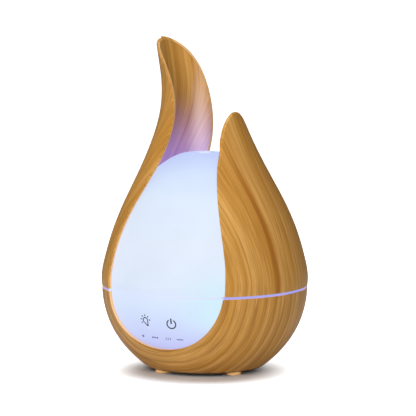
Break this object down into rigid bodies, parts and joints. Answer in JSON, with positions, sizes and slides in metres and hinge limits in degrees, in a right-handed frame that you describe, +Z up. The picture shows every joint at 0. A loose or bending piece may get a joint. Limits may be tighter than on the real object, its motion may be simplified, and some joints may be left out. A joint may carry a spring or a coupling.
{
  "type": "cool mist humidifier",
  "caption": "Flame-shaped tabletop cool mist humidifier: two wood-look petals round a glowing dome, touch panel, lift-off cover over a water tank.",
  "frame": {"origin": "on the table, on the axis of the round base", "axes": "+Z up, -Y out of the window with the touch keys, -X towards the tall petal"},
  "size_m": [0.1406, 0.1377, 0.2254],
  "materials": {
    "wood_look": "moulded case with a printed light wood grain under satin lacquer",
    "glow_dome": "milky translucent, lit from inside, emissive",
    "glow_panel": "milky translucent, lit from inside, emissive",
    "glow_ring": "frosted light guide, lit from inside, emissive",
    "clear_silicone": "milky silicone",
    "milky_plastic": "frosted food-grade plastic",
    "silicone": "grey silicone",
    "nickel": "plated, satin",
    "steel": "zinc-plated",
    "black_plastic": "moulded, fine texture",
    "bronze": "sintered",
    "copper": "enamelled wire",
    "brown_plastic": "moulded, fine texture",
    "amber_rubber": "soft, satin",
    "circuit_board": "green solder mask",
    "can_sleeve": "printed shrink sleeve",
    "aluminium": "extruded",
    "led": "clear lens, emissive",
    "touch_foam": "conductive foam",
    "lead_red": "insulated wire",
    "lead_white": "insulated wire"
  },
  "bodies": {
    "base": {"air_duct": "black_plastic", "air_tube": "milky_plastic", "base_shell": "wood_look", "board_screws": "steel", "bottom_cover": "brown_plastic", "bottom_screws": "steel", "bracket_screws": "steel", "capacitors": "can_sleeve", "control_chip": "black_plastic", "dc_socket": "black_plastic", "drive_coil": "copper", "duct_cap": "milky_plastic", "fan_bearing": "bronze", "fan_housing": "black_plastic", "fan_lead": "lead_red", "fan_screws": "steel", "fan_stator": "copper", "foot_front_left": "amber_rubber", "foot_front_right": "amber_rubber", "foot_rear_left": "amber_rubber", "foot_rear_right": "amber_rubber", "front_panel": "glow_panel", "heat_sink": "aluminium", "indicator_leds": "led", "light_board": "circuit_board", "light_lead": "lead_white", "light_leds": "led", "light_ring": "glow_ring", "main_board": "circuit_board", "tank_screws": "steel", "touch_board": "circuit_board", "touch_lead": "lead_red", "touch_pads": "touch_foam", "touch_screws": "steel", "transducer_bracket": "steel", "transducer_disc": "nickel", "transducer_lead": "lead_white", "transducer_seal": "silicone", "transistor": "black_plastic", "water_tank": "milky_plastic"},
    "cover": {"petal_cover": "wood_look", "mist_dome": "glow_dome", "mist_nozzle": "clear_silicone"},
    "fan": {"fan_rotor": "black_plastic", "fan_shaft": "steel"}
  },
  "joints": [
    {"name": "cover_lift", "type": "slide", "parent": "base", "child": "cover", "axis": [0, 0, 1], "range_m": [0, 0.08]},
    {"name": "fan_spin", "type": "hinge", "parent": "base", "child": "fan", "pos_m": [-0.02, 0.006, 0.0122], "axis": [0, 0, 1], "continuous": true}
  ]
}
